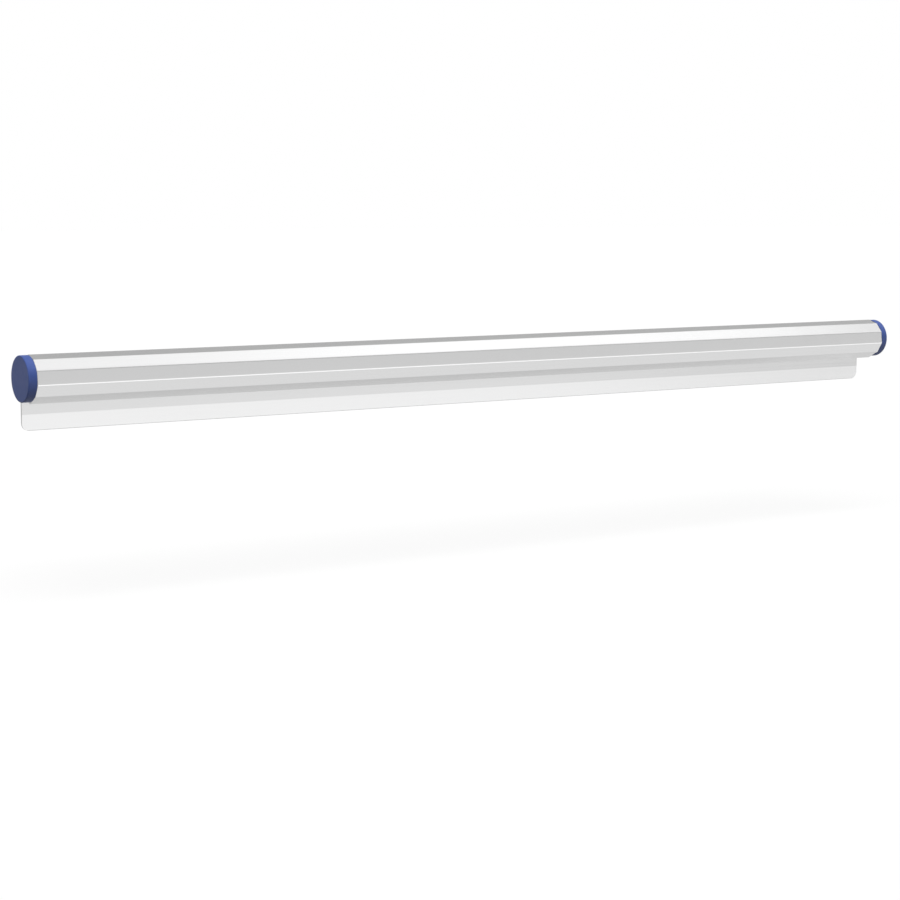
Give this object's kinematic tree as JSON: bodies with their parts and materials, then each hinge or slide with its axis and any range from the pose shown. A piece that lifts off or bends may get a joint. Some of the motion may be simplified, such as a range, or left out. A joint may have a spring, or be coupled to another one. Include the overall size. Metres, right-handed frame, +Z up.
{
  "type": "order ticket rail",
  "caption": "Wall rail of faceted aluminium tube with a back plate and blue round end caps; glass marbles inside pinch paper slips pushed up through the slot below.",
  "frame": {"origin": "on the wall plane at mid-length, level with the axis of the tube, at the middle of the upper mounting tape", "axes": "+X along the rail to the right as seen from the front, +Y into the wall, +Z up"},
  "size_m": [0.914, 0.0375, 0.0606],
  "materials": {
    "satin_aluminium": "satin anodised extrusion",
    "blue_cap_plastic": "fine matt moulded",
    "marble_glass": "polished, faintly tinted",
    "foam_tape": "closed-cell foam with adhesive face"
  },
  "bodies": {
    "rail": {"rail_extrusion": "satin_aluminium", "left_end_cap": "blue_cap_plastic", "right_end_cap": "blue_cap_plastic", "upper_mounting_tape": "foam_tape", "lower_mounting_tape": "foam_tape"},
    "marble_01": {"marble_01": "marble_glass"},
    "marble_02": {"marble_02": "marble_glass"},
    "marble_03": {"marble_03": "marble_glass"},
    "marble_04": {"marble_04": "marble_glass"},
    "marble_05": {"marble_05": "marble_glass"},
    "marble_06": {"marble_06": "marble_glass"},
    "marble_07": {"marble_07": "marble_glass"},
    "marble_08": {"marble_08": "marble_glass"},
    "marble_09": {"marble_09": "marble_glass"},
    "marble_10": {"marble_10": "marble_glass"},
    "marble_11": {"marble_11": "marble_glass"},
    "marble_12": {"marble_12": "marble_glass"},
    "marble_13": {"marble_13": "marble_glass"},
    "marble_14": {"marble_14": "marble_glass"},
    "marble_15": {"marble_15": "marble_glass"},
    "marble_16": {"marble_16": "marble_glass"},
    "marble_17": {"marble_17": "marble_glass"},
    "marble_18": {"marble_18": "marble_glass"},
    "marble_19": {"marble_19": "marble_glass"},
    "marble_20": {"marble_20": "marble_glass"},
    "marble_21": {"marble_21": "marble_glass"},
    "marble_22": {"marble_22": "marble_glass"},
    "marble_23": {"marble_23": "marble_glass"},
    "marble_24": {"marble_24": "marble_glass"},
    "marble_25": {"marble_25": "marble_glass"},
    "marble_26": {"marble_26": "marble_glass"},
    "marble_27": {"marble_27": "marble_glass"},
    "marble_28": {"marble_28": "marble_glass"},
    "marble_29": {"marble_29": "marble_glass"},
    "marble_30": {"marble_30": "marble_glass"},
    "marble_31": {"marble_31": "marble_glass"},
    "marble_32": {"marble_32": "marble_glass"},
    "marble_33": {"marble_33": "marble_glass"},
    "marble_34": {"marble_34": "marble_glass"}
  },
  "joints": [
    {"name": "marble_01_lift", "type": "slide", "parent": "rail", "child": "marble_01", "axis": [0, -0.8829, 0.4695], "range_m": [0, 0.0065]},
    {"name": "marble_02_lift", "type": "slide", "parent": "rail", "child": "marble_02", "axis": [0, -0.8829, 0.4695], "range_m": [0, 0.0065]},
    {"name": "marble_03_lift", "type": "slide", "parent": "rail", "child": "marble_03", "axis": [0, -0.8829, 0.4695], "range_m": [0, 0.0065]},
    {"name": "marble_04_lift", "type": "slide", "parent": "rail", "child": "marble_04", "axis": [0, -0.8829, 0.4695], "range_m": [0, 0.0065]},
    {"name": "marble_05_lift", "type": "slide", "parent": "rail", "child": "marble_05", "axis": [0, -0.8829, 0.4695], "range_m": [0, 0.0065]},
    {"name": "marble_06_lift", "type": "slide", "parent": "rail", "child": "marble_06", "axis": [0, -0.8829, 0.4695], "range_m": [0, 0.0065]},
    {"name": "marble_07_lift", "type": "slide", "parent": "rail", "child": "marble_07", "axis": [0, -0.8829, 0.4695], "range_m": [0, 0.0065]},
    {"name": "marble_08_lift", "type": "slide", "parent": "rail", "child": "marble_08", "axis": [0, -0.8829, 0.4695], "range_m": [0, 0.0065]},
    {"name": "marble_09_lift", "type": "slide", "parent": "rail", "child": "marble_09", "axis": [0, -0.8829, 0.4695], "range_m": [0, 0.0065]},
    {"name": "marble_10_lift", "type": "slide", "parent": "rail", "child": "marble_10", "axis": [0, -0.8829, 0.4695], "range_m": [0, 0.0065]},
    {"name": "marble_11_lift", "type": "slide", "parent": "rail", "child": "marble_11", "axis": [0, -0.8829, 0.4695], "range_m": [0, 0.0065]},
    {"name": "marble_12_lift", "type": "slide", "parent": "rail", "child": "marble_12", "axis": [0, -0.8829, 0.4695], "range_m": [0, 0.0065]},
    {"name": "marble_13_lift", "type": "slide", "parent": "rail", "child": "marble_13", "axis": [0, -0.8829, 0.4695], "range_m": [0, 0.0065]},
    {"name": "marble_14_lift", "type": "slide", "parent": "rail", "child": "marble_14", "axis": [0, -0.8829, 0.4695], "range_m": [0, 0.0065]},
    {"name": "marble_15_lift", "type": "slide", "parent": "rail", "child": "marble_15", "axis": [0, -0.8829, 0.4695], "range_m": [0, 0.0065]},
    {"name": "marble_16_lift", "type": "slide", "parent": "rail", "child": "marble_16", "axis": [0, -0.8829, 0.4695], "range_m": [0, 0.0065]},
    {"name": "marble_17_lift", "type": "slide", "parent": "rail", "child": "marble_17", "axis": [0, -0.8829, 0.4695], "range_m": [0, 0.0065]},
    {"name": "marble_18_lift", "type": "slide", "parent": "rail", "child": "marble_18", "axis": [0, -0.8829, 0.4695], "range_m": [0, 0.0065]},
    {"name": "marble_19_lift", "type": "slide", "parent": "rail", "child": "marble_19", "axis": [0, -0.8829, 0.4695], "range_m": [0, 0.0065]},
    {"name": "marble_20_lift", "type": "slide", "parent": "rail", "child": "marble_20", "axis": [0, -0.8829, 0.4695], "range_m": [0, 0.0065]},
    {"name": "marble_21_lift", "type": "slide", "parent": "rail", "child": "marble_21", "axis": [0, -0.8829, 0.4695], "range_m": [0, 0.0065]},
    {"name": "marble_22_lift", "type": "slide", "parent": "rail", "child": "marble_22", "axis": [0, -0.8829, 0.4695], "range_m": [0, 0.0065]},
    {"name": "marble_23_lift", "type": "slide", "parent": "rail", "child": "marble_23", "axis": [0, -0.8829, 0.4695], "range_m": [0, 0.0065]},
    {"name": "marble_24_lift", "type": "slide", "parent": "rail", "child": "marble_24", "axis": [0, -0.8829, 0.4695], "range_m": [0, 0.0065]},
    {"name": "marble_25_lift", "type": "slide", "parent": "rail", "child": "marble_25", "axis": [0, -0.8829, 0.4695], "range_m": [0, 0.0065]},
    {"name": "marble_26_lift", "type": "slide", "parent": "rail", "child": "marble_26", "axis": [0, -0.8829, 0.4695], "range_m": [0, 0.0065]},
    {"name": "marble_27_lift", "type": "slide", "parent": "rail", "child": "marble_27", "axis": [0, -0.8829, 0.4695], "range_m": [0, 0.0065]},
    {"name": "marble_28_lift", "type": "slide", "parent": "rail", "child": "marble_28", "axis": [0, -0.8829, 0.4695], "range_m": [0, 0.0065]},
    {"name": "marble_29_lift", "type": "slide", "parent": "rail", "child": "marble_29", "axis": [0, -0.8829, 0.4695], "range_m": [0, 0.0065]},
    {"name": "marble_30_lift", "type": "slide", "parent": "rail", "child": "marble_30", "axis": [0, -0.8829, 0.4695], "range_m": [0, 0.0065]},
    {"name": "marble_31_lift", "type": "slide", "parent": "rail", "child": "marble_31", "axis": [0, -0.8829, 0.4695], "range_m": [0, 0.0065]},
    {"name": "marble_32_lift", "type": "slide", "parent": "rail", "child": "marble_32", "axis": [0, -0.8829, 0.4695], "range_m": [0, 0.0065]},
    {"name": "marble_33_lift", "type": "slide", "parent": "rail", "child": "marble_33", "axis": [0, -0.8829, 0.4695], "range_m": [0, 0.0065]},
    {"name": "marble_34_lift", "type": "slide", "parent": "rail", "child": "marble_34", "axis": [0, -0.8829, 0.4695], "range_m": [0, 0.0065]}
  ]
}
